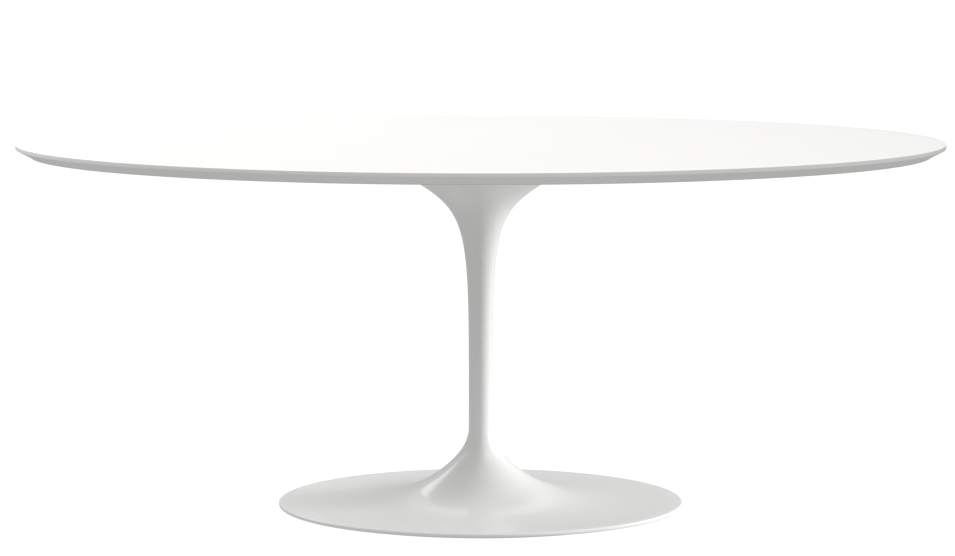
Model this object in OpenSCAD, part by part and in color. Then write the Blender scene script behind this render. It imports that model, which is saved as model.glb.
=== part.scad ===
// Oval pedestal table: a thin bevelled top on one hollow trumpet-shaped pedestal.
// Units are millimetres. +Z is up, +X runs along the top's long side, and the
// origin is on the floor at the middle of the foot.
// The pedestal is one casting. A tie rod inside it pulls the plate under the top
// down towards the ballast in the foot, and so clamps the casting between them.

/* [Top] */
// Length of the oval top
top_l = 1800; // [1200:10:2400]
// Width of the oval top
top_w = 1100; // [800:10:1400]
// Height of the finished top above the floor
height = 730; // [600:5:900]
// Thickness of the board between its two laminates
core_t = 22; // [18:1:30]
// Thickness of the laminate on the upper face
top_laminate_t = 1; // [0.6:0.1:2]
// Thickness of the balancing laminate on the underside
back_laminate_t = 1; // [0.6:0.1:2]
// Height of the upright edge, above the bevel
edge_h = 8; // [5:0.5:14]
// How far the bevel runs in under the top
bevel_in = 28; // [15:1:45]

/* [Pedestal] */
// Length of the oval foot
foot_l = 800; // [560:10:1000]
// Width of the oval foot
foot_w = 550; // [420:10:760]
// Height of the foot's lower edge above the floor
foot_gap = 8; // [5:0.5:10]
// Radius that rounds the foot's edge
foot_edge_r = 3; // [1:0.5:3.5]
// Diameter of the round neck at its narrowest
neck_d = 47; // [44:1:80]
// Height of the narrowest point of the neck
neck_z = 163; // [140:1:220]
// Length of the pedestal's oval mouth, under the top
mouth_l = 430; // [390:5:520]
// Width of the pedestal's oval mouth, under the top
mouth_w = 300; // [280:5:380]
// Share of the foot's reach, from the neck outwards, where its flat part begins
foot_flat = 0.17; // [0.1:0.01:0.3]
// How far the foot's throat bends outwards from the neck
throat_run = 125; // [90:5:150]
// How far the foot's throat rises above the foot's edge
throat_rise = 40; // [20:1:60]
// Slope of the mouth's flare, in degrees from level
mouth_angle = 32; // [25:1:45]
// How strongly the flare holds that slope, along the slope
mouth_pull = 235; // [120:5:260]
// Share of the stem's height over which it stays slim
stem_hold = 0.88; // [0.6:0.01:0.95]
// Wall of the casting
wall = 6; // [4:0.5:8]
// Width of the solid rim round the foot
rim_w = 9; // [6:0.5:14]

/* [Top fixing] */
// Thickness of the oval steel plate under the top
plate_t = 6; // [4:0.5:8]
// Distance from that plate to the casting round it
plate_play = 18; // [8:1:25]
// Number of bolts that hold the plate to the top
bolt_count = 8; // [6:2:12]
// Distance of the bolts from the plate's edge
bolt_inset = 24; // [18:1:40]
// Thread diameter of those bolts
bolt_d = 8; // [6:1:10]
// Outside diameter of a threaded insert
insert_d = 12; // [12:0.5:16]
// Length of a threaded insert
insert_h = 13; // [10:0.5:15]
// Thickness of the soft ring between the casting and the top
gasket_t = 1; // [0.5:0.1:2]
// Diameter of the hub's flange, welded under the plate
hub_flange_d = 90; // [60:2:110]
// Diameter of the hub's threaded boss
hub_boss_d = 32; // [28:1:40]
// Length of the hub, flange included
hub_h = 42; // [30:1:60]

/* [Tie rod] */
// Thread diameter of the tie rod
rod_d = 16; // [12:1:18]
// Length of the bush that centres the rod in the neck
bush_h = 24; // [12:1:40]
// Height of the clamping nut
nut_h = 13; // [10:0.5:16]
// Height of the thin locking nut below it
lock_nut_h = 6; // [5:0.5:7]
// Width across the flats of both nuts
nut_flats = 24; // [22:1:30]
// Diameter of the thick washer
rod_washer_d = 40; // [36:1:46]
// Thickness of that washer
rod_washer_t = 4; // [3:0.5:6]

/* [Foot filling] */
// Length of the cast ballast inside the foot
ballast_l = 480; // [400:10:560]
// Height of the ballast, measured from the floor
ballast_top = 76; // [60:1:90]
// Thickness of the cover under the foot
cover_t = 1.5; // [1:0.1:1.5]
// Number of screws that hold the cover to the ballast
screw_count = 6; // [4:2:8]
// Thread diameter of the cover screws
screw_d = 5; // [4:0.5:6]
// Distance of the screws from the ballast's edge
screw_inset = 40; // [30:5:60]
// Iron left over the blind holes of the cover screws
screw_iron = 1.5; // [1:0.1:4]
// Distance of the floor ring from the foot's edge
ring_inset = 30; // [26:1:50]
// Width of the floor ring
ring_w = 22; // [12:1:36]
// Diameter of the access hole under the nuts
access_d = 44; // [40:1:50]

/* [Hidden] */

$fn = 96;
fit = 0.05;            // radial play of threads and bushes
slip = 0.5;            // play between a casting and what sits inside it
top_segments = 160;    // flats round the bevelled board
shell_segments = 64;   // flats round the casting and the ballast
foot_steps = 12;
stem_steps = 14;
ballast_steps = 8;

// Heights of the stacked layers, from the top down.
laminate_z = height - top_laminate_t;
core_z = laminate_z - core_t;
underside_z = core_z - back_laminate_t;
shell_top_z = underside_z - gasket_t;
plate_z = underside_z - plate_t;
bolt_head_h = 0.66 * bolt_d;
washer_t = 0.2 * bolt_d;

// Heights of the stacked parts in the foot, from the floor up.
cover_top_z = foot_gap + cover_t;
foot_edge_z = cover_top_z + slip + wall;
rod_z = cover_top_z + 1.5;
lock_nut_z = rod_z + 2;
clamp_nut_z = lock_nut_z + lock_nut_h;
rod_washer_z = clamp_nut_z + nut_h;
counterbore_z = rod_washer_z + rod_washer_t;

// Control points of the casting's outer curve: radius along X, radius along Y, height.
// The foot's curve runs in from its edge, and the stem's runs up to the mouth.
neck_r = neck_d / 2;
foot_ratio = foot_w / foot_l;
mouth_ratio = mouth_w / mouth_l;
mouth_back = mouth_pull * cos(mouth_angle);
foot_side = [
    [foot_l / 2 - foot_edge_r, foot_w / 2 - foot_edge_r, foot_edge_z],
    [neck_r + foot_flat * (foot_l / 2 - neck_r), neck_r + foot_flat * (foot_w / 2 - neck_r), foot_edge_z],
    [neck_r + throat_run, neck_r + throat_run * foot_ratio, foot_edge_z + throat_rise],
    [neck_r, neck_r, neck_z / 2],
    [neck_r, neck_r, neck_z]];
stem_side = [
    [neck_r, neck_r, neck_z],
    [neck_r, neck_r, neck_z + stem_hold * (shell_top_z - neck_z)],
    [mouth_l / 2 - mouth_back, mouth_w / 2 - mouth_back * mouth_ratio,
     shell_top_z - mouth_pull * sin(mouth_angle)],
    [mouth_l / 2, mouth_w / 2, shell_top_z]];

// The inner curve is the outer one moved in by the wall. In the stem the move is
// sideways only, and longer near the mouth, because the wall leans there.
mouth_wall = wall / sin(mouth_angle);
edge_in = rim_w - foot_edge_r;
foot_moves = [[edge_in, edge_in, wall], [wall, wall, wall], [wall, wall, wall], [wall, wall, wall],
              [wall, wall, 0]];
stem_moves = [[wall, wall, 0], [wall, wall, 0], [mouth_wall, mouth_wall, 0], [mouth_wall, mouth_wall, 0]];
foot_inside = foot_side - foot_moves;
stem_inside = stem_side - stem_moves;

// A point on the curve that the control points p describe, at 0 <= t <= 1.
function curve(p, t) = len(p) == 1 ? p[0]
    : curve([for (i = [0:len(p) - 2]) (1 - t) * p[i] + t * p[i + 1]], t);
function rings(p, steps, from = 0, to = 1) =
    [for (i = [0:steps]) curve(p, from + (to - from) * i / steps)];

// Where a curve reaches a value along X (axis 0) or in height (axis 2), found by
// halving the stretch between low and high, where the value is below and above.
function where(p, axis, value, low, high, halvings = 24) =
    let (mid = (low + high) / 2)
    halvings == 0 ? mid
    : curve(p, mid)[axis] < value ? where(p, axis, value, mid, high, halvings - 1)
    : where(p, axis, value, low, mid, halvings - 1);

function reversed(v) = [for (i = [len(v) - 1:-1:0]) v[i]];
function without_first(v) = [for (i = [1:len(v) - 1]) v[i]];

// A ring is [radius along X, radius along Y, height]. These give its points.
function ring_points(ring, n) = [for (k = [0:n - 1])
    [ring[0] * cos(360 * k / n), ring[1] * sin(360 * k / n), ring[2]]];
function all_points(list, n) = [for (ring = list) each ring_points(ring, n)];

// The triangles between ring i and ring j of n points each.
function band(i, j, n) = [for (k = [0:n - 1]) let (m = (k + 1) % n)
    each [[i * n + k, j * n + k, j * n + m], [i * n + k, j * n + m, i * n + m]]];

// A closed solid through a list of rings, from the lowest to the highest.
module loft(list, n) {
    last = len(list) - 1;
    polyhedron(all_points(list, n),
        concat([[for (k = [0:n - 1]) k]],
               [for (i = [0:last - 1]) each band(i, i + 1, n)],
               [[for (k = [n - 1:-1:0]) last * n + k]]));
}

// A hollow solid whose wall goes round through a closed list of rings.
module loft_loop(list, n) {
    count = len(list);
    polyhedron(all_points(list, n), [for (i = [0:count - 1]) each band(i, (i + 1) % count, n)]);
}

// A flat oval. Its n flats line up with those of the solid that it meets.
module oval(l, w, t, n = shell_segments) {
    linear_extrude(t) polygon([for (k = [0:n - 1]) [l / 2 * cos(360 * k / n), w / 2 * sin(360 * k / n)]]);
}

// Puts its children at count places round an oval.
module around(l, w, count, turn = 0) {
    for (k = [0:count - 1])
        translate([l / 2 * cos(turn + 360 * k / count), w / 2 * sin(turn + 360 * k / count), 0])
            children();
}

// The plate keeps its distance from the casting's inner surface at its own level.
plate_rim = curve(stem_inside, where(stem_inside, 2, plate_z, 0, 1));
plate_l = 2 * (plate_rim[0] - plate_play);
plate_w = 2 * (plate_rim[1] - plate_play);

module at_plate_bolts() {
    around(plate_l - 2 * bolt_inset, plate_w - 2 * bolt_inset, bolt_count, 180 / bolt_count) children();
}

// The cover screws end in blind holes, as deep as the ballast is thick over their oval.
screws_l = ballast_l - 2 * screw_inset;
screws_w = ballast_l * foot_ratio - 2 * screw_inset;
function ballast_over(axis, reach) = curve(foot_inside, where(foot_inside, axis, reach, 1, 0))[2] - slip;
screw_hole_z = min(ballast_over(0, screws_l / 2 + screw_d), ballast_over(1, screws_w / 2 + screw_d))
             - screw_iron;

module at_cover_screws() {
    around(screws_l, screws_w, screw_count, 180 / screw_count) children();
}

module top_laminate() {
    color("white") translate([0, 0, laminate_z]) oval(top_l, top_w, top_laminate_t, top_segments);
}

module tabletop_core() {
    edge_z = height - edge_h;
    color("ghostwhite") difference() {
        loft([[top_l / 2 - bevel_in, top_w / 2 - bevel_in, core_z],
              [top_l / 2, top_w / 2, edge_z],
              [top_l / 2, top_w / 2, laminate_z]], top_segments);
        translate([0, 0, core_z - 1]) at_plate_bolts() cylinder(d = insert_d + 2 * fit, h = insert_h + 2);
    }
}

module backing_laminate() {
    inset = 2 * (bevel_in + slip);
    color("gainsboro") translate([0, 0, underside_z]) difference() {
        oval(top_l - inset, top_w - inset, back_laminate_t, top_segments);
        translate([0, 0, -1]) at_plate_bolts() cylinder(d = insert_d + 2 * fit, h = back_laminate_t + 2);
    }
}

module threaded_inserts() {
    color("goldenrod") translate([0, 0, underside_z + back_laminate_t]) at_plate_bolts() difference() {
        cylinder(d = insert_d, h = insert_h);
        translate([0, 0, -1]) cylinder(d = bolt_d + 2 * fit, h = insert_h + 2);
    }
}

module mouth_gasket() {
    color("dimgray") translate([0, 0, shell_top_z]) difference() {
        oval(mouth_l - 2, mouth_w - 2, gasket_t);
        translate([0, 0, -1]) oval(mouth_l - 2 * mouth_wall, mouth_w - 2 * mouth_wall, gasket_t + 2);
    }
}

module mounting_plate() {
    color("slategray") translate([0, 0, plate_z]) difference() {
        oval(plate_l, plate_w, plate_t);
        translate([0, 0, -1]) at_plate_bolts() cylinder(d = bolt_d + 1, h = plate_t + 2);
    }
}

module plate_washers() {
    color("silver") translate([0, 0, plate_z - washer_t]) at_plate_bolts() difference() {
        cylinder(d = 2 * bolt_d, h = washer_t);
        translate([0, 0, -1]) cylinder(d = bolt_d + 0.4, h = washer_t + 2);
    }
}

module plate_bolts() {
    grip = washer_t + plate_t + back_laminate_t;
    color("silver") translate([0, 0, plate_z - washer_t]) at_plate_bolts() {
        translate([0, 0, -bolt_head_h]) cylinder(d = 1.85 * bolt_d, h = bolt_head_h, $fn = 6);
        cylinder(d = bolt_d, h = grip + insert_h - 1);
    }
}

module rod_hub() {
    color("slategray") translate([0, 0, plate_z - hub_h]) difference() {
        union() {
            cylinder(d = hub_boss_d, h = hub_h);
            translate([0, 0, hub_h - plate_t]) cylinder(d = hub_flange_d, h = plate_t);
        }
        translate([0, 0, -1]) cylinder(d = rod_d + 2 * fit, h = hub_h - plate_t + 1);
    }
}

module pedestal_shell() {
    rx = foot_l / 2;
    ry = foot_w / 2;
    // Quarter rounds at the upper and the lower corner of the foot's edge.
    corner = foot_edge_r;
    rounds = concat(
        [for (a = [60, 30, 0]) [rx - corner * (1 - cos(a)), ry - corner * (1 - cos(a)),
                                foot_edge_z - corner * (1 - sin(a))]],
        [for (a = [0, 30, 60, 90]) [rx - corner * (1 - cos(a)), ry - corner * (1 - cos(a)),
                                    foot_gap + corner * (1 - sin(a))]]);
    outside = concat(reversed(rounds), rings(foot_side, foot_steps),
                     without_first(rings(stem_side, stem_steps)));
    inside = concat([[rx - rim_w, ry - rim_w, foot_gap]], rings(foot_inside, foot_steps),
                    without_first(rings(stem_inside, stem_steps)));
    color("whitesmoke") loft_loop(concat(outside, reversed(inside)), shell_segments);
}

module rod_bush() {
    color("ivory") translate([0, 0, neck_z - bush_h / 2]) difference() {
        cylinder(r = neck_r - wall - 0.15, h = bush_h);
        translate([0, 0, -1]) cylinder(d = rod_d + 2 * fit, h = bush_h + 2);
    }
}

module tie_rod() {
    rod_top_z = plate_z - plate_t - 4;
    color("silver") translate([0, 0, rod_z]) cylinder(d = rod_d, h = rod_top_z - rod_z);
}

// The ballast fills the foot from its cover up to the casting's inner surface.
module ballast_body() {
    outer_t = where(foot_inside, 0, ballast_l / 2 + slip, 1, 0);
    upper_t = where(foot_inside, 2, ballast_top + slip, 0, 1);
    side = [for (ring = rings(foot_inside, ballast_steps, outer_t, upper_t)) ring - [slip, slip, slip]];
    loft(concat([[side[0][0], side[0][1], cover_top_z]], side), shell_segments);
}

module ballast() {
    color("darkslategray") difference() {
        ballast_body();
        cylinder(d = rod_d + 1, h = height);
        cylinder(d = access_d, h = counterbore_z);
        at_cover_screws() cylinder(d = screw_d + 2 * fit, h = screw_hole_z);
    }
}

module rod_washer() {
    color("silver") translate([0, 0, rod_washer_z]) difference() {
        cylinder(d = rod_washer_d, h = rod_washer_t);
        translate([0, 0, -1]) cylinder(d = rod_d + 1, h = rod_washer_t + 2);
    }
}

module nut(h) {
    difference() {
        cylinder(d = nut_flats / cos(30), h = h, $fn = 6);
        translate([0, 0, -1]) cylinder(d = rod_d + 2 * fit, h = h + 2);
    }
}

module clamp_nut() {
    color("silver") translate([0, 0, clamp_nut_z]) nut(nut_h);
}

module lock_nut() {
    color("silver") translate([0, 0, lock_nut_z]) nut(lock_nut_h);
}

module base_cover() {
    inset = 2 * (rim_w + slip);
    color("dimgray") translate([0, 0, foot_gap]) difference() {
        oval(foot_l - inset, foot_w - inset, cover_t);
        translate([0, 0, -1]) cylinder(d = access_d, h = cover_t + 2);
        translate([0, 0, -1]) at_cover_screws() cylinder(d = screw_d + 0.6, h = cover_t + 2);
    }
}

module cover_screws() {
    head_h = 0.5 * screw_d;
    color("silver") translate([0, 0, foot_gap]) at_cover_screws() {
        translate([0, 0, -head_h]) cylinder(d = 2 * screw_d, h = head_h);
        cylinder(d = screw_d, h = screw_hole_z - 1 - foot_gap);
    }
}

module floor_ring() {
    outer = 2 * ring_inset;
    inner = outer + 2 * ring_w;
    color("black") difference() {
        oval(foot_l - outer, foot_w - outer, foot_gap);
        translate([0, 0, -1]) oval(foot_l - inner, foot_w - inner, foot_gap + 2);
    }
}

module access_plug() {
    flange_t = 2;
    color("black") {
        translate([0, 0, foot_gap - flange_t]) cylinder(d = access_d + 10, h = flange_t);
        translate([0, 0, foot_gap]) cylinder(d = access_d - 2 * fit, h = cover_t);
    }
}

top_laminate();
tabletop_core();
backing_laminate();
threaded_inserts();
mouth_gasket();
mounting_plate();
plate_bolts();
plate_washers();
rod_hub();
pedestal_shell();
rod_bush();
tie_rod();
ballast();
rod_washer();
clamp_nut();
lock_nut();
base_cover();
cover_screws();
floor_ring();
access_plug();
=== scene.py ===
"""Looks of an oval pedestal table: smooth surfaces, finishes, studio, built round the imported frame.

Lengths are in metres and angles in degrees unless a name says otherwise. The origin is on the
floor under the middle of the top, +X runs along the top's long side and +Z is up.
"""

import logging
import math
from dataclasses import dataclass, field
from enum import Enum

import bpy
import numpy as np
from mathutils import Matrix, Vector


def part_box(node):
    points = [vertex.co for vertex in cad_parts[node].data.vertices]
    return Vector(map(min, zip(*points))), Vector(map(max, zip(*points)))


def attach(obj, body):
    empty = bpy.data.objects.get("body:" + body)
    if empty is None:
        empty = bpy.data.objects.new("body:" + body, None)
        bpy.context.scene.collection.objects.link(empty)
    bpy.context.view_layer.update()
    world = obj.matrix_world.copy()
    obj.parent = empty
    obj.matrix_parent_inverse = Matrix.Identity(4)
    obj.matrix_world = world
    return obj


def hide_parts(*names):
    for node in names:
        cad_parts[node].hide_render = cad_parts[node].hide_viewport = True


LOG = logging.getLogger("pedestal_table")
MM = 0.001
TURN = 2 * math.pi
Colour = tuple[float, float, float]

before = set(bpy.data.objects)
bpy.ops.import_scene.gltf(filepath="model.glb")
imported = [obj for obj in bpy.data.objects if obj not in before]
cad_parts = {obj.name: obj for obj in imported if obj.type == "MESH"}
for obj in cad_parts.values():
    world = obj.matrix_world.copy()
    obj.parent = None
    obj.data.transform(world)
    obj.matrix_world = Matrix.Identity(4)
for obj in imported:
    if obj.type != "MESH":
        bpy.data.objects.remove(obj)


def heights(node: str) -> tuple[float, float]:
    """Returns the heights of a CAD node's lowest and highest point."""
    low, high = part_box(node)
    return low.z, high.z


# ---------------------------------------------------------------- surfaces


class Ends(Enum):
    """How a surface that is carried round the upright axis is closed."""

    LOOP = "the last ring joins the first"
    POLES = "the first and the last ring close on the axis"
    OPEN = "both ends stay open"


def curve(control: np.ndarray, t: np.ndarray) -> np.ndarray:
    """Evaluates the smooth curve that a control polygon describes, by repeated halfway mixing.

    Args:
        control: Control points, one per row.
        t: Places along the curve, from 0 at its first point to 1 at its last.

    Returns:
        One point per row, for each value of t.
    """
    points = np.repeat(np.asarray(control, float)[None], len(t), axis=0)
    share = np.asarray(t, float)[:, None, None]
    while points.shape[1] > 1:
        points = (1 - share) * points[:, :-1] + share * points[:, 1:]
    return points[:, 0]


def rounded(corners: list[tuple[float, float]], radii: list[float], steps: int = 5,
            loop: bool = False) -> np.ndarray:
    """Rounds the corners of a flat outline with arcs.

    Each corner gives way to a circular arc that touches both of its sides: the arc starts and
    ends at radius / tan(half the corner's angle) from the corner, measured along the sides.

    Args:
        corners: Outline points as (distance in from the edge, height).
        radii: One radius for each corner; 0 leaves the corner sharp.
        steps: Number of stretches in each arc.
        loop: Whether the outline is closed.

    Returns:
        The outline's points, one per row.
    """
    points = np.asarray(corners, float)
    out: list[np.ndarray] = []
    last = len(points) - 1
    for i, radius in enumerate(radii):
        here = points[i]
        if radius <= 0 or (not loop and i in (0, last)):
            out.append(here[None])
            continue
        back, ahead = points[i - 1] - here, points[(i + 1) % len(points)] - here
        back, ahead = back / np.linalg.norm(back), ahead / np.linalg.norm(ahead)
        half = math.acos(float(np.clip(back @ ahead, -1, 1))) / 2
        middle = (back + ahead) / np.linalg.norm(back + ahead)
        centre = here + middle * radius / math.sin(half)
        first = here + back * radius / math.tan(half) - centre
        final = here + ahead * radius / math.tan(half) - centre
        sweep = math.pi - 2 * half
        s = np.linspace(0, 1, steps + 1)[:, None]
        arc = np.sin((1 - s) * sweep) * first + np.sin(s * sweep) * final
        out.append(centre + arc / math.sin(sweep))
    return np.concatenate(out)


def oval_rings(outline: np.ndarray, half_length: float, half_width: float) -> np.ndarray:
    """Turns an outline of (distance in, height) into rings of (radius along X, along Y, height).

    Args:
        outline: Points as (distance in from the oval's edge, height).
        half_length: Half of the oval's length.
        half_width: Half of the oval's width.

    Returns:
        One ring per row.
    """
    return np.column_stack([half_length - outline[:, 0], half_width - outline[:, 0], outline[:, 1]])


def carried_round(rings: np.ndarray, segments: int) -> np.ndarray:
    """Places each ring's points: (radius along X * cos a, radius along Y * sin a, height).

    Args:
        rings: One ring per row, as (radius along X, radius along Y, height).
        segments: Number of points round each ring.

    Returns:
        An array of points, shaped rings x segments x 3.
    """
    a = np.linspace(0, TURN, segments, endpoint=False)
    x = rings[:, :1] * np.cos(a)
    y = rings[:, 1:2] * np.sin(a)
    z = np.repeat(rings[:, 2:3], segments, axis=1)
    return np.stack([x, y, z], axis=-1)


def grid_faces(rows: int, columns: int, first: int, loop: bool) -> np.ndarray:
    """Joins a grid of points into four-sided faces; the columns always join up all round.

    Args:
        rows: Number of rings.
        columns: Number of points round each ring.
        first: Number of the grid's first point.
        loop: Whether the last ring joins the first.

    Returns:
        One face per row, as four point numbers.
    """
    low = np.arange(rows if loop else rows - 1)[:, None]
    high = (low + 1) % rows
    here = np.arange(columns)[None]
    there = (here + 1) % columns
    faces = np.stack([low * columns + here, low * columns + there,
                      high * columns + there, high * columns + here], axis=-1)
    return faces.reshape(-1, 4) + first


@dataclass
class MeshParts:
    """Gathers grids of points, and makes one mesh object of them."""

    points: list[np.ndarray] = field(default_factory=list)
    faces: list[list[int]] = field(default_factory=list)
    count: int = 0

    def add(self, grid: np.ndarray, ends: Ends) -> None:
        """Adds one grid of rings.

        Args:
            grid: Points shaped rings x segments x 3, with faces outwards when the rings run up
                the outside.
            ends: How the grid's first and last ring are closed.
        """
        rows, columns = grid.shape[:2]
        self.faces += grid_faces(rows, columns, self.count, ends is Ends.LOOP).tolist()
        pieces = [grid.reshape(-1, 3)]
        if ends is Ends.POLES:
            total = rows * columns
            ring = np.arange(columns)
            ahead = (ring + 1) % columns
            base, tip = self.count + total, self.count + total + 1
            upper = self.count + total - columns
            lower = self.count
            for fan in ((np.full(columns, base), lower + ahead, lower + ring),
                        (np.full(columns, tip), upper + ring, upper + ahead)):
                self.faces += np.stack(fan, 1).tolist()
            pieces += [grid[0].mean(0)[None], grid[-1].mean(0)[None]]
        block = np.concatenate(pieces)
        self.points.append(block)
        self.count += len(block)

    def make(self, name: str, sharp: float = 32.0) -> bpy.types.Object:
        """Makes the mesh object.

        Args:
            name: The object's name.
            sharp: Edges that bend by more than this many degrees stay crisp.

        Returns:
            The new object, at the origin.
        """
        mesh = bpy.data.meshes.new(name)
        mesh.from_pydata(np.concatenate(self.points).tolist(), [], self.faces)
        mesh.update()
        mesh.shade_smooth()
        mesh.set_sharp_from_angle(angle=math.radians(sharp))
        made = bpy.data.objects.new(name, mesh)
        bpy.context.scene.collection.objects.link(made)
        return made


def solid_of_rings(name: str, rings: np.ndarray, segments: int, ends: Ends,
                   sharp: float = 32.0) -> bpy.types.Object:
    """Makes one object from rings round the upright axis.

    Args:
        name: The object's name.
        rings: One ring per row, as (radius along X, radius along Y, height).
        segments: Number of points round each ring.
        ends: How the surface is closed.
        sharp: Edges that bend by more than this many degrees stay crisp.

    Returns:
        The new object.
    """
    parts = MeshParts()
    parts.add(carried_round(rings, segments), ends)
    return parts.make(name, sharp)


def copies(grid: np.ndarray, places: np.ndarray) -> list[np.ndarray]:
    """Returns one copy of a grid of points for each place it is moved to."""
    return [grid + place for place in places]


def round_the_oval(half_length: float, half_width: float, count: int, height: float) -> np.ndarray:
    """Gives evenly turned places on an oval, with none on its long axis.

    Args:
        half_length: Half of the oval's length.
        half_width: Half of the oval's width.
        count: Number of places.
        height: Height of the places.

    Returns:
        One place per row.
    """
    a = (np.arange(count) + 0.5) * TURN / count
    x, y = half_length * np.cos(a), half_width * np.sin(a)
    return np.column_stack([x, y, np.full(count, height)])


# ---------------------------------------------------------------- shader maths


class Sock:
    """A node's output socket that takes part in Python arithmetic."""

    def __init__(self, book: "NodeBook", socket: bpy.types.NodeSocket) -> None:
        """Keeps the socket and the book that its nodes belong to."""
        self.book = book
        self.socket = socket

    def __add__(self, other: "Sock | float") -> "Sock":
        """Returns self + other."""
        return self.book.math("ADD", self, other)

    def __radd__(self, other: float) -> "Sock":
        """Returns other + self."""
        return self.book.math("ADD", other, self)

    def __sub__(self, other: "Sock | float") -> "Sock":
        """Returns self - other."""
        return self.book.math("SUBTRACT", self, other)

    def __rsub__(self, other: float) -> "Sock":
        """Returns other - self."""
        return self.book.math("SUBTRACT", other, self)

    def __mul__(self, other: "Sock | float") -> "Sock":
        """Returns self * other."""
        return self.book.math("MULTIPLY", self, other)

    def __rmul__(self, other: float) -> "Sock":
        """Returns other * self."""
        return self.book.math("MULTIPLY", other, self)


class NodeBook:
    """Writes one material's or one world's nodes."""

    def __init__(self, owner: "bpy.types.Material | bpy.types.World") -> None:
        """Opens the owner's node tree, empty."""
        owner.use_nodes = True
        self.tree = owner.node_tree
        self.tree.nodes.clear()

    def node(self, kind: str, settings: dict | None = None,
             values: dict | None = None) -> bpy.types.Node:
        """Adds one node.

        Args:
            kind: The node's type name.
            settings: Attributes that are set first, such as an operation.
            values: A value or a Sock for each named or numbered input.

        Returns:
            The new node.
        """
        made = self.tree.nodes.new(kind)
        for key, value in (settings or {}).items():
            setattr(made, key, value)
        for key, value in (values or {}).items():
            if isinstance(value, Sock):
                self.tree.links.new(value.socket, made.inputs[key])
            else:
                made.inputs[key].default_value = value
        return made

    def out(self, made: bpy.types.Node, name: "str | int" = 0) -> Sock:
        """Returns one of a node's outputs as a Sock."""
        return Sock(self, made.outputs[name])

    def math(self, operation: str, a: "Sock | float", b: "Sock | float") -> Sock:
        """Returns the result of a Math node on a and b."""
        return self.out(self.node("ShaderNodeMath", {"operation": operation}, {0: a, 1: b}))

    def place(self, stretch: tuple[float, float, float] = (1, 1, 1)) -> Sock:
        """Returns the piece's own coordinates, each multiplied by its stretch."""
        own = self.out(self.node("ShaderNodeTexCoord"), "Object")
        return self.out(self.node("ShaderNodeMapping", None, {"Vector": own, "Scale": stretch}))

    def noise(self, scale: float, detail: float = 3.0, roughness: float = 0.5,
              stretch: tuple[float, float, float] = (1, 1, 1)) -> Sock:
        """Returns cloudy noise between 0 and 1.

        Args:
            scale: Clouds per metre, roughly.
            detail: Number of finer layers.
            roughness: Strength of each finer layer.
            stretch: Multiplier of the scale along X, Y and Z.

        Returns:
            The noise value.
        """
        made = self.node("ShaderNodeTexNoise", None, {
            "Vector": self.place(stretch), "Scale": scale, "Detail": detail,
            "Roughness": roughness})
        return self.out(made, "Fac")

    def blend(self, share: Sock, low: Colour, high: Colour) -> Sock:
        """Returns a colour between low, where share is 0, and high, where it is 1."""
        made = self.node("ShaderNodeMix", {"data_type": "RGBA"},
                         {"Factor": share, 6: (*low, 1.0), 7: (*high, 1.0)})
        return self.out(made, 2)

    def bump(self, height: Sock, depth: float, under: Sock | None = None) -> Sock:
        """Returns a normal for a relief.

        Args:
            height: The relief's height, between 0 and 1.
            depth: The relief's depth in metres.
            under: The normal of a coarser relief below this one.

        Returns:
            The bent normal.
        """
        values = {"Height": height, "Distance": depth, "Strength": 1.0}
        if under is not None:
            values["Normal"] = under
        return self.out(self.node("ShaderNodeBump", None, values), "Normal")

    def surface(self, values: dict) -> None:
        """Ends a material with a principled surface that has these inputs."""
        skin = self.node("ShaderNodeBsdfPrincipled", None, values)
        self.node("ShaderNodeOutputMaterial", None, {"Surface": self.out(skin)})


# ---------------------------------------------------------------- finishes


@dataclass(frozen=True)
class Finish:
    """A finish on one kind of material.

    Attributes:
        name: The material's name.
        colour: Its main colour.
        shade: The colour that it drifts towards in faint clouds.
        rough: Its roughness.
        shine: The most that the roughness drops in places.
    """

    name: str
    colour: Colour
    shade: Colour
    rough: float
    shine: float = 0.04

    def write(self, book: NodeBook) -> None:
        """Writes the finish's nodes; each kind of finish has its own."""
        raise NotImplementedError

    def material(self) -> bpy.types.Material:
        """Returns the finished material, made once."""
        found = bpy.data.materials.get(self.name)
        if found is None:
            found = bpy.data.materials.new(self.name)
            self.write(NodeBook(found))
        return found


@dataclass(frozen=True)
class CastingCoat(Finish):
    """Smooth gloss coat on a casting, with a barely seen orange peel.

    Attributes:
        peel: Depth of the orange peel.
        drift: How far the roughness wanders, half of it each way.
        peel_per_metre: Peel dimples per metre.
        index: Index of refraction.
        film: Weight of the clear film on top.
        film_rough: Roughness of that film.
    """

    peel: float = 0.008 * MM
    drift: float = 0.05
    peel_per_metre: float = 260.0
    index: float = 1.5
    film: float = 0.35
    film_rough: float = 0.07

    def write(self, book: NodeBook) -> None:
        """Writes slow clouds of colour, drifting gloss and fine orange peel."""
        clouds = book.noise(3.0, 4.0)
        peel = book.noise(self.peel_per_metre, 2.0)
        swell = book.noise(18.0, 2.0)
        book.surface({
            "Base Color": book.blend(clouds, self.colour, self.shade),
            "Roughness": self.rough - self.drift * (book.noise(7.0, 3.0) - 0.5),
            "Normal": book.bump(peel, self.peel, book.bump(swell, 4 * self.peel)),
            "IOR": self.index,
            "Coat Weight": self.film,
            "Coat Roughness": self.film_rough,
        })


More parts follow.
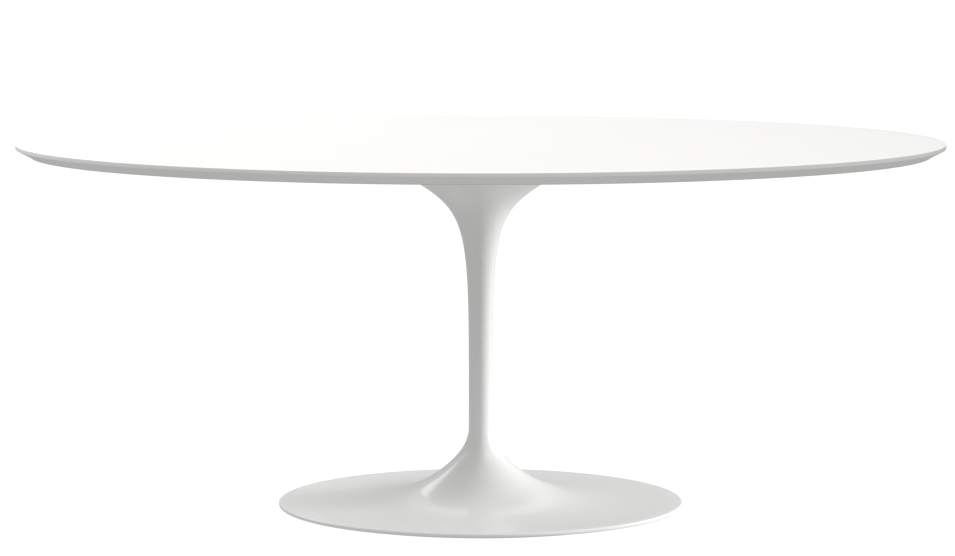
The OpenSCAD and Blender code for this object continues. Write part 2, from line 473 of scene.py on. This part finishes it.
@dataclass(frozen=True)
class Laminate(Finish):
    """Hard decorative laminate with a fine pearl texture."""

    pearl: float = 0.012 * MM
    pearl_per_metre: float = 900.0
    index: float = 1.5

    def write(self, book: NodeBook) -> None:
        """Writes a fine even pearl, faint clouds, and roughness worn smooth in wide patches."""
        pearl = book.noise(self.pearl_per_metre, 2.0, 0.6)
        wear = book.noise(4.0, 5.0, 0.6)
        book.surface({
            "Base Color": book.blend(book.noise(2.2, 4.0), self.colour, self.shade),
            "Roughness": self.rough - self.shine * wear,
            "Normal": book.bump(pearl, self.pearl),
            "IOR": self.index,
        })


@dataclass(frozen=True)
class Lacquer(Finish):
    """Sprayed lacquer over a shaped board edge."""

    grain: float = 0.02 * MM
    index: float = 1.48

    def write(self, book: NodeBook) -> None:
        """Writes the lacquer's soft sag lines along the edge, and a fine sprayed grain."""
        sag = book.noise(40.0, 2.0, 0.5, (1, 1, 5))
        grain = book.noise(700.0, 2.0)
        book.surface({
            "Base Color": book.blend(book.noise(5.0, 3.0), self.colour, self.shade),
            "Roughness": self.rough - self.shine * sag,
            "Normal": book.bump(grain, self.grain, book.bump(sag, 3 * self.grain)),
            "IOR": self.index,
        })


@dataclass(frozen=True)
class PlatedSteel(Finish):
    """Bright zinc plating on turned or rolled steel."""

    lines: float = 0.01 * MM

    def write(self, book: NodeBook) -> None:
        """Writes turning lines across the height and cloudy plating."""
        turned = book.noise(60.0, 3.0, 0.6, (1, 1, 40))
        clouds = book.noise(90.0, 4.0)
        book.surface({
            "Base Color": book.blend(clouds, self.colour, self.shade),
            "Metallic": 1.0,
            "Roughness": self.rough - self.shine * clouds,
            "Normal": book.bump(turned, self.lines),
        })


@dataclass(frozen=True)
class PowderCoat(Finish):
    """Textured powder coat on sheet steel."""

    grain: float = 0.08 * MM

    def write(self, book: NodeBook) -> None:
        """Writes the coat's fine pebbled relief."""
        pebbles = book.noise(420.0, 3.0, 0.6)
        book.surface({
            "Base Color": book.blend(pebbles, self.colour, self.shade),
            "Roughness": self.rough - self.shine * pebbles,
            "Normal": book.bump(pebbles, self.grain),
        })


@dataclass(frozen=True)
class RawCasting(Finish):
    """Sand-cast iron, as it leaves the mould."""

    sand: float = 0.5 * MM
    metal: float = 0.35

    def write(self, book: NodeBook) -> None:
        """Writes coarse sand relief with a finer grain on it, and rusty brown patches."""
        sand = book.noise(160.0, 5.0, 0.65)
        patches = book.noise(14.0, 5.0, 0.6)
        book.surface({
            "Base Color": book.blend(patches, self.colour, self.shade),
            "Metallic": self.metal,
            "Roughness": self.rough - self.shine * sand,
            "Normal": book.bump(sand, self.sand),
        })


@dataclass(frozen=True)
class Moulded(Finish):
    """Moulded rubber, nylon or plastic sheet with a matt grained skin."""

    grain: float = 0.04 * MM
    grains_per_metre: float = 550.0

    def write(self, book: NodeBook) -> None:
        """Writes the mould's fine grain and a dusty drift of colour."""
        grain = book.noise(self.grains_per_metre, 3.0, 0.55)
        dust = book.noise(12.0, 5.0, 0.6)
        book.surface({
            "Base Color": book.blend(dust, self.colour, self.shade),
            "Roughness": self.rough - self.shine * grain,
            "Normal": book.bump(grain, self.grain),
        })


COAT = CastingCoat("gloss_white_coat", (0.87, 0.868, 0.855), (0.85, 0.848, 0.832), 0.3)
LAMINATE = Laminate("white_laminate", (0.9, 0.893, 0.872), (0.885, 0.877, 0.855), 0.34)
BACKING = Laminate("backing_laminate_white", (0.8, 0.797, 0.785), (0.77, 0.767, 0.755), 0.5)
LACQUER = Lacquer("white_edge_lacquer", (0.84, 0.838, 0.826), (0.815, 0.813, 0.8), 0.42)
ZINC = PlatedSteel("zinc_plated_steel", (0.66, 0.68, 0.7), (0.56, 0.57, 0.58), 0.36, 0.12)
BRASS = PlatedSteel("turned_brass", (0.8, 0.6, 0.28), (0.7, 0.5, 0.22), 0.3, 0.1)
POWDER = PowderCoat("black_powder_coat", (0.03, 0.03, 0.032), (0.05, 0.05, 0.052), 0.55, 0.1)
IRON = RawCasting("cast_iron_ballast", (0.06, 0.058, 0.056), (0.11, 0.075, 0.05), 0.8, 0.15)
RUBBER = Moulded("black_rubber", (0.02, 0.02, 0.021), (0.034, 0.033, 0.032), 0.75, 0.1)
NYLON = Moulded("natural_nylon", (0.78, 0.75, 0.66), (0.74, 0.7, 0.6), 0.45, 0.06,
                0.02 * MM)
COVER = Moulded("black_cover_sheet", (0.03, 0.03, 0.031), (0.045, 0.044, 0.042), 0.6, 0.1,
                0.08 * MM, 300.0)


def dress(thing: bpy.types.Object, finish: Finish) -> None:
    """Gives an object one finish, in place of every material it has."""
    slots = thing.data.materials
    slots.clear()
    slots.append(finish.material())


def install(piece: bpy.types.Object, finish: Finish, slot: str, *nodes: str) -> None:
    """Finishes a new piece, and lets it stand for the CAD nodes that it shows.

    Args:
        piece: The new object.
        finish: Its finish.
        slot: Not used.
        nodes: The CAD nodes it replaces.
    """
    dress(piece, finish)
    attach(piece, "root")
    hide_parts(*nodes)
    LOG.info("%s: %d faces, stands for %s",
             piece.name, len(piece.data.polygons), ", ".join(nodes))


def keep(finish: Finish, *nodes: str) -> None:
    """Gives CAD nodes that stay as they are a finish."""
    for name in nodes:
        dress(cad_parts[name], finish)
        LOG.info("%s: kept, finished in %s", name, finish.name)


# ---------------------------------------------------------------- the top


@dataclass
class Top:
    """The oval top: a bevelled board between a laminate and a backing laminate."""

    segments: int = 360
    bevel_in: float = 28 * MM
    edge_height: float = 8 * MM
    laminate_corner: float = 0.7 * MM
    board_corner: float = 1.6 * MM
    glue_corner: float = 0.15 * MM
    flat_band: float = 20 * MM

    def __post_init__(self) -> None:
        """Reads the top's outer sizes off the frame."""
        low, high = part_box("top_laminate")
        self.half_length, self.half_width = high.x, high.y
        self.top, self.laminate_foot = high.z, low.z
        self.board_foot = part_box("tabletop_core")[0].z

    def laminate(self) -> bpy.types.Object:
        """Makes the laminate: a flat oval sheet whose upper corner is eased by a small arc."""
        outline = rounded(
            [(self.flat_band, self.laminate_foot), (0, self.laminate_foot), (0, self.top),
             (self.flat_band, self.top)],
            [0, 0, self.laminate_corner, 0])
        rings = oval_rings(outline, self.half_length, self.half_width)
        return solid_of_rings("laminate_sheet", rings, self.segments, Ends.POLES, 40)

    def board(self) -> bpy.types.Object:
        """Makes the board: flat below, a bevel out to the upright edge, and flat above."""
        bend = self.top - self.edge_height
        outline = rounded(
            [(self.bevel_in + 1.5 * self.flat_band, self.board_foot),
             (self.bevel_in, self.board_foot), (0, bend),
             (0, self.laminate_foot), (self.flat_band, self.laminate_foot)],
            [0, self.board_corner / 2, self.board_corner, self.glue_corner, 0])
        rings = oval_rings(outline, self.half_length, self.half_width)
        return solid_of_rings("bevelled_board", rings, self.segments, Ends.POLES, 40)

    def build(self) -> None:
        """Makes and finishes the top's pieces."""
        install(self.laminate(), LAMINATE, "laminate", "top_laminate")
        install(self.board(), LACQUER, "lacquered_board", "tabletop_core")
        keep(BACKING, "backing_laminate")


# ---------------------------------------------------------------- the pedestal


@dataclass
class Pedestal:
    """The hollow casting: an oval foot, a round neck and an oval mouth, in one curve."""

    segments: int = 256
    steps: int = 46
    neck_radius: float = 23.5 * MM
    neck_height: float = 163 * MM
    foot_flat: float = 0.17
    throat_run: float = 125 * MM
    throat_rise: float = 40 * MM
    mouth_angle: float = 32.0
    mouth_pull: float = 235 * MM
    stem_hold: float = 0.88
    wall: float = 6 * MM
    rim: float = 9 * MM
    corner: float = 3 * MM
    edge_height: float = 8 * MM

    def __post_init__(self) -> None:
        """Reads the casting's outer sizes off the frame."""
        low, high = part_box("pedestal_shell")
        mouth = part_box("mouth_gasket")[1]
        self.foot = np.array([high.x, high.y])
        self.mouth = np.array([mouth.x + MM, mouth.y + MM])
        self.gap, self.lip = low.z, high.z

    def foot_control(self) -> np.ndarray:
        """Returns the control points of the curve from the foot's edge in to the neck."""
        edge = self.gap + self.edge_height
        neck = np.full(2, self.neck_radius)
        ratio = np.array([1, self.foot[1] / self.foot[0]])
        return np.array([
            [*(self.foot - self.corner), edge],
            [*(neck + self.foot_flat * (self.foot - neck)), edge],
            [*(neck + self.throat_run * ratio), edge + self.throat_rise],
            [*neck, self.neck_height / 2],
            [*neck, self.neck_height]])

    def stem_control(self) -> np.ndarray:
        """Returns the control points of the curve from the neck up to the mouth."""
        angle = math.radians(self.mouth_angle)
        neck = np.full(2, self.neck_radius)
        ratio = np.array([1, self.mouth[1] / self.mouth[0]])
        back = self.mouth_pull * math.cos(angle) * ratio
        return np.array([
            [*neck, self.neck_height],
            [*neck, self.neck_height + self.stem_hold * (self.lip - self.neck_height)],
            [*(self.mouth - back), self.lip - self.mouth_pull * math.sin(angle)],
            [*self.mouth, self.lip]])

    def rings(self) -> np.ndarray:
        """Returns the rings of the whole wall: up its outside, over the lip, and down its inside.

        The inner curves are the outer ones moved in by the wall, and further where the mouth
        leans, by wall / sin(lean).
        """
        t = np.linspace(0, 1, self.steps)
        wall, lean = self.wall, self.wall / math.sin(math.radians(self.mouth_angle))
        edge_in = self.rim - self.corner
        foot, stem = self.foot_control(), self.stem_control()
        sideways = [wall, wall, 0]
        foot_in = foot - np.array([[edge_in, edge_in, wall], [wall] * 3, [wall] * 3, [wall] * 3,
                                   sideways])
        stem_in = stem - np.array([sideways, sideways, [lean, lean, 0], [lean, lean, 0]])
        edge = self.gap + self.edge_height
        outline = rounded(
            [(self.rim, self.gap), (0, self.gap), (0, edge), (self.corner + MM, edge)],
            [0, self.corner, self.corner, 0], 6)[:-1]
        return np.concatenate([
            oval_rings(outline, *self.foot),
            curve(foot, t)[1:], curve(stem, t)[1:],
            curve(stem_in, t)[::-1], curve(foot_in, t)[::-1][1:]])

    def build(self) -> None:
        """Makes and finishes the casting."""
        shell = solid_of_rings("pedestal_casting", self.rings(), self.segments, Ends.LOOP, 35)
        install(shell, COAT, "coated_casting", "pedestal_shell")
        keep(RUBBER, "mouth_gasket")


# ---------------------------------------------------------------- threads, bolts and nuts


def threaded(radius: float, pitch: float, low: float, high: float,
             segments: int = 36) -> np.ndarray:
    """Makes the rings of a screw thread.

    The radius is the outer radius less a triangle wave of (height / pitch - angle / turn), and
    the wave fades out over one pitch at each end, where the shank is chamfered.

    Args:
        radius: Outer radius.
        pitch: Height of one turn.
        low: Height of the thread's lower end.
        high: Height of its upper end.
        segments: Number of points round the shank.

    Returns:
        Points shaped rings x segments x 3.
    """
    rows = max(8, int(6 * (high - low) / pitch))
    z = np.linspace(low, high, rows)[:, None]
    a = np.linspace(0, TURN, segments, endpoint=False)[None]
    phase = (z / pitch - a / TURN) % 1.0
    groove = 1 - np.abs(2 * phase - 1)
    depth, chamfer = 0.55 * pitch, 0.4 * pitch
    full = np.clip(np.minimum(z - low, high - z) / pitch, 0, 1)
    r = radius - depth * groove * full - chamfer * (1 - full)
    return np.stack([r * np.cos(a), r * np.sin(a), z + 0 * a], axis=-1)


def hexagon(flats: float, low: float, high: float, bore: float = 0.0,
            segments: int = 72) -> np.ndarray:
    """Makes the rings of a hexagon head or nut with chamfered corners.

    At angle a the outline's radius is half the flats over cos(a's distance from the middle of
    its flat). Each end drops by tan 30 times how far the outline reaches past the flats' circle.

    Args:
        flats: Width across the flats.
        low: Height of the lower face.
        high: Height of the upper face.
        bore: Radius of the hole; 0 makes a solid head.
        segments: Number of points round it.

    Returns:
        Points shaped rings x segments x 3, from the lower face out and up to the upper face.
    """
    a = np.linspace(0, TURN, segments, endpoint=False)
    off = (a + TURN / 12) % (TURN / 6) - TURN / 12
    outline = flats / 2 / np.cos(off)
    circle = 0.475 * flats
    drop = (outline - circle) * math.tan(math.radians(30))
    inner = bore if bore > 0 else 0.5 * circle
    rows = [(np.full_like(a, inner), low + 0 * a), (np.full_like(a, circle), low + 0 * a),
            (outline, low + drop), (outline, high - drop),
            (np.full_like(a, circle), high + 0 * a), (np.full_like(a, inner), high + 0 * a)]
    return np.stack([np.stack([r * np.cos(a), r * np.sin(a), z], axis=-1) for r, z in rows])


def washer_rings(inner: float, outer: float, low: float, high: float) -> np.ndarray:
    """Returns the rings of a flat washer whose corners are eased by a fifth of its thickness."""
    ease = 0.2 * (high - low)
    outline = rounded([(0, low), (0, high), (outer - inner, high), (outer - inner, low)],
                      [ease] * 4, 3, True)
    return oval_rings(outline, outer, outer)


@dataclass
class TopFixing:
    """The plate, bolts, washers, inserts and hub that hold the top to the tie rod."""

    bolt_count: int = 8
    bolt_inset: float = 24 * MM
    bolt_radius: float = 4 * MM
    bolt_pitch: float = 1.25 * MM
    washer_play: float = 0.2 * MM
    head_flats: float = 12.8 * MM
    head_height: float = 5.28 * MM

    def __post_init__(self) -> None:
        """Reads the places of the bolts off the frame."""
        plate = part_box("mounting_plate")[1]
        self.low, self.high = heights("plate_bolts")
        self.washer_low, self.washer_high = heights("plate_washers")
        self.places = round_the_oval(plate.x - self.bolt_inset, plate.y - self.bolt_inset,
                                     self.bolt_count, 0.0)

    def bolts(self) -> bpy.types.Object:
        """Makes the bolts: chamfered hexagon heads and threaded shanks."""
        head = hexagon(self.head_flats, self.low, self.low + self.head_height)
        shank = threaded(self.bolt_radius, self.bolt_pitch, self.low + self.head_height, self.high)
        parts = MeshParts()
        for grid in copies(head, self.places) + copies(shank, self.places):
            parts.add(grid, Ends.POLES)
        return parts.make("hexagon_bolts")

    def washers(self) -> bpy.types.Object:
        """Makes the washers, with eased corners."""
        rings = washer_rings(self.bolt_radius + self.washer_play, 2 * self.bolt_radius,
                             self.washer_low, self.washer_high)
        parts = MeshParts()
        for grid in copies(carried_round(rings, 48), self.places):
            parts.add(grid, Ends.LOOP)
        return parts.make("bolt_washers")

    def build(self) -> None:
        """Makes and finishes the fixing's pieces."""
        install(self.bolts(), ZINC, "zinc_steel", "plate_bolts")
        install(self.washers(), ZINC, "zinc_steel", "plate_washers")
        keep(BRASS, "threaded_inserts")
        keep(POWDER, "mounting_plate", "rod_hub")


@dataclass
class TieRod:
    """The rod through the stem, with its bush, washer, clamp nut and lock nut."""

    radius: float = 8 * MM
    pitch: float = 2 * MM
    thread_length: float = 70 * MM
    flats: float = 24 * MM
    washer_radius: float = 20 * MM
    play: float = 0.05 * MM
    washer_play: float = 0.5 * MM

    def rod(self) -> bpy.types.Object:
        """Makes the rod: a plain bar between two threaded ends."""
        low, high = heights("tie_rod")
        lower = threaded(self.radius, self.pitch, low, low + self.thread_length, 40)
        upper = threaded(self.radius, self.pitch, high - self.thread_length, high, 40)
        parts = MeshParts()
        parts.add(np.concatenate([lower, upper]), Ends.POLES)
        return parts.make("threaded_rod")

    def nut(self, name: str, node: str) -> bpy.types.Object:
        """Makes one nut with chamfered corners and a round bore.

        Args:
            name: The new object's name.
            node: The CAD node that gives its place.

        Returns:
            The new object.
        """
        low, high = heights(node)
        parts = MeshParts()
        parts.add(hexagon(self.flats, low, high, self.radius + self.play), Ends.LOOP)
        return parts.make(name)

    def build(self) -> None:
        """Makes and finishes the rod's pieces."""
        install(self.rod(), ZINC, "zinc_steel", "tie_rod")
        install(self.nut("chamfered_clamp_nut", "clamp_nut"), ZINC, "zinc_steel", "clamp_nut")
        install(self.nut("chamfered_lock_nut", "lock_nut"), ZINC, "zinc_steel", "lock_nut")
        rings = washer_rings(self.radius + self.washer_play, self.washer_radius,
                             *heights("rod_washer"))
        washer = solid_of_rings("thick_washer", rings, 72, Ends.LOOP)
        install(washer, ZINC, "zinc_steel", "rod_washer")
        keep(NYLON, "rod_bush")


# ---------------------------------------------------------------- inside and under the foot


@dataclass
class FootFilling:
    """The ballast and its cover, screws, access plug and floor ring."""

    screw_count: int = 6
    screw_radius: float = 2.5 * MM
    screw_pitch: float = 0.8 * MM
    head_radius: float = 5 * MM
    ring_width: float = 22 * MM
    groove: float = 1.2 * MM

    def floor_ring(self) -> bpy.types.Object:
        """Makes the rubber ring: rounded outer corners, and two shallow grooves in its sole."""
        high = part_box("floor_ring")[1]
        width, height, groove = self.ring_width, high.z, self.groove
        corners = [(0, 0), (0, height), (width, height), (width, 0)]
        ease = [2 * MM, 0.4 * MM, 0.4 * MM, 2 * MM]
        for share in (0.7, 0.3):
            middle = share * width
            corners += [(middle + 2 * groove, 0), (middle + groove, groove),
                        (middle - groove, groove), (middle - 2 * groove, 0)]
            ease += [0.3 * MM] * 4
        rings = oval_rings(rounded(corners, ease, 3, True), high.x, high.y)
        return solid_of_rings("rubber_floor_ring", rings, 256, Ends.LOOP)

    def screws(self) -> bpy.types.Object:
        """Makes the cover screws: domed heads with a cross recess, and threaded shanks.

        The head is a dome of height 1 - (r / head radius) squared, pressed in where a cross of
        arms a fifth of the radius wide reaches to half the radius.
        """
        low, high = heights("cover_screws")
        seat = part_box("base_cover")[0].z
        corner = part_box("cover_screws")[1]
        places = round_the_oval((corner.x - self.head_radius) / math.cos(TURN / 12),
                                corner.y - self.head_radius, self.screw_count, 0.0)
        height = seat - low
        r = self.head_radius * np.linspace(1, 0.02, 34)[:, None]
        a = np.linspace(0, TURN, 64, endpoint=False)[None]
        x, y = r * np.cos(a), r * np.sin(a)
        arm = 0.1 * self.head_radius
        reach = 0.52 * self.head_radius
        narrow = np.minimum(np.abs(x), np.abs(y))
        wide = np.maximum(np.abs(x), np.abs(y))
        slope = 0.5 * arm
        inside = np.clip((arm - narrow) / slope, 0, 1) * np.clip((reach - wide) / slope, 0, 1)
        crown = 0.55 * height
        dome = height - crown + crown * (1 - (r / self.head_radius) ** 2)
        z = seat - dome + crown * inside
        face = np.stack([x, y, z], axis=-1)
        back = np.stack([x[:1], y[:1], seat + 0 * a], axis=-1)
        parts = MeshParts()
        head = np.concatenate([face[::-1], back])
        shank = threaded(self.screw_radius, self.screw_pitch, seat, high, 28)
        for grid in copies(head, places) + copies(shank, places):
            parts.add(grid, Ends.POLES)
        return parts.make("cross_head_screws")

    def plug(self) -> bpy.types.Object:
        """Makes the access plug: a low dome with a rounded brim and a stub above it."""
        low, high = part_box("access_plug")
        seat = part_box("base_cover")[0].z
        stub = high.x - 5 * MM
        r = high.x
        outline = rounded(
            [(0.97 * r, low.z + 0.4 * MM), (0.3 * r, low.z), (0, low.z), (0, seat),
             (r - stub, seat), (r - stub, high.z), (0.97 * r, high.z)],
            [0, 3 * MM, 0.8 * MM, 0.3 * MM, 0.2 * MM, 0.3 * MM, 0], 4)
        return solid_of_rings("access_cap", oval_rings(outline, r, r), 96, Ends.POLES)

    def build(self) -> None:
        """Makes and finishes the foot's inner and lower pieces."""
        install(self.floor_ring(), RUBBER, "rubber", "floor_ring")
        install(self.screws(), ZINC, "zinc_steel", "cover_screws")
        install(self.plug(), RUBBER, "rubber", "access_plug")
        keep(IRON, "ballast")
        keep(COVER, "base_cover")


# ---------------------------------------------------------------- the studio


@dataclass(frozen=True)
class Softbox:
    """A soft rectangular light that faces the table.

    Attributes:
        name: The light's name.
        azimuth: Its direction seen from above: 0 in front, 90 on the right, 180 behind.
        elevation: Its angle above the level of its aim.
        distance: Its distance from its aim.
        aim: Height of its aim above the floor's middle.
        size: Its width and height.
        power: Its power in watts.
        flagged: Whether it is flagged off the table's top.
    """

    name: str
    azimuth: float
    elevation: float
    distance: float
    aim: float
    size: tuple[float, float]
    power: float
    flagged: bool = False

    def hang(self) -> None:
        """Adds the light to the scene, at distance * (cos e sin a, -cos e cos a, sin e)."""
        a, e = math.radians(self.azimuth), math.radians(self.elevation)
        lamp = bpy.data.lights.new(self.name, "AREA")
        lamp.shape, lamp.energy = "RECTANGLE", self.power
        lamp.size, lamp.size_y = self.size
        made = bpy.data.objects.new(self.name, lamp)
        bpy.context.scene.collection.objects.link(made)
        made.location = (self.distance * math.cos(e) * math.sin(a),
                         -self.distance * math.cos(e) * math.cos(a),
                         self.aim + self.distance * math.sin(e))
        made.rotation_euler = (math.pi / 2 - e, 0, a)
        if self.flagged:
            spared = bpy.data.collections.new(f"{self.name}_flag")
            for name in TOP_PIECES:
                spared.objects.link(bpy.data.objects[name])
            for entry in spared.collection_objects:
                entry.light_linking.link_state = "EXCLUDE"
            made.light_linking.receiver_collection = spared


# The pieces that a flagged light leaves out.
TOP_PIECES = ("laminate_sheet", "bevelled_board", "backing_laminate")
# Width and height of the broad softboxes.
BROAD = (3.0, 2.6)
LIGHTS = (
    Softbox("overhead", 90, 83, 3.6, 0.4, (3.0, 3.0), 32),
    Softbox("right_level", 90, 0, 4.8, 0.95, (1.0, 0.65), 160, True),
    Softbox("right_raised", 90, 24, 5, 0.1, (2.6, 1.5), 53, True),
    Softbox("back_high", 180, 45, 5, 0.4, BROAD, 22),
    Softbox("back_left_high", 225, 45, 5, 0.4, BROAD, 84),
    Softbox("left_high", 270, 45, 5, 0.4, BROAD, 90),
    Softbox("front_right_high", 45, 45, 5, 0.4, BROAD, 56),
)


@dataclass
class Studio:
    """A plain pale floor, soft lights and the camera."""

    lens: float = 97.32
    distance: float = 5.0
    height: float = 1.233
    aside: float = -0.0063
    pitch: float = 8.774
    floor_radius: float = 60.0
    glow: float = 0.434
    bounce: float = 0.495
    seen_white: float = 1.05
    sensor: float = 36.0
    slab_thick: float = 1 * MM
    under_top: float = -2 * MM

    def slab(self, name: str, radius: float, top: float, paint: dict) -> bpy.types.Object:
        """Makes one thin round slab for the studio.

        Args:
            name: The object's name.
            radius: Its radius.
            top: Height of its upper face.
            paint: The inputs of its principled surface.

        Returns:
            The slab.
        """
        rings = np.array([[radius, radius, top - self.slab_thick], [radius, radius, top]])
        made = solid_of_rings(name, rings, 96, Ends.POLES)
        skin = bpy.data.materials.new(name)
        NodeBook(skin).surface(paint)
        made.data.materials.append(skin)
        return made

    def floor(self) -> None:
        """Makes the pale floor that is seen, and the one under it that lights the table."""
        seen = self.slab("pale_floor", self.floor_radius, 0.0, {
            "Base Color": (0, 0, 0, 1), "Roughness": 1.0, "Specular IOR Level": 0.0,
            "Emission Color": (1, 1, 1, 1), "Emission Strength": self.seen_white})
        seen.visible_diffuse = seen.visible_glossy = seen.visible_transmission = False
        seen.visible_shadow = False
        seen.active_material.cycles.emission_sampling = "NONE"
        under = self.slab("floor_bounce", self.floor_radius, self.under_top, {
            "Base Color": (0, 0, 0, 1), "Roughness": 1.0, "Specular IOR Level": 0.0,
            "Emission Color": (1, 1, 1, 1), "Emission Strength": self.bounce})
        under.visible_camera = False

    def sky(self) -> None:
        """Sets the even light from all round, behind a white backdrop."""
        world = bpy.data.worlds.new("studio_light")
        bpy.context.scene.world = world
        book = NodeBook(world)
        seen = book.out(book.node("ShaderNodeLightPath"), "Is Camera Ray")
        strength = self.glow + (1 - self.glow) * seen
        glow = book.node("ShaderNodeBackground", None,
                         {"Color": (1, 1, 1, 1), "Strength": strength})
        book.node("ShaderNodeOutputWorld", None, {"Surface": book.out(glow)})

    def camera(self) -> None:
        """Sets the camera at the table's front, a little above it."""
        lens = bpy.data.cameras.new("view")
        lens.lens, lens.sensor_width = self.lens, self.sensor
        lens.clip_end = 200.0
        made = bpy.data.objects.new("view", lens)
        bpy.context.scene.collection.objects.link(made)
        made.location = (self.aside, -self.distance, self.height)
        made.rotation_euler = (math.radians(90 - self.pitch), 0, 0)
        bpy.context.scene.camera = made

    def build(self) -> None:
        """Sets up the whole studio."""
        self.camera()
        self.floor()
        self.sky()
        for light in LIGHTS:
            light.hang()
        bpy.context.scene.view_settings.view_transform = "Standard"


def main() -> None:
    """Builds the table's looks in order."""
    logging.basicConfig(level=logging.INFO, format="%(message)s")
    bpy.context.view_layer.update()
    for assembly in (Top(), Pedestal(), TopFixing(), TieRod(), FootFilling(), Studio()):
        LOG.info("building %s", type(assembly).__name__)
        assembly.build()


if __name__ == "__main__":
    main()
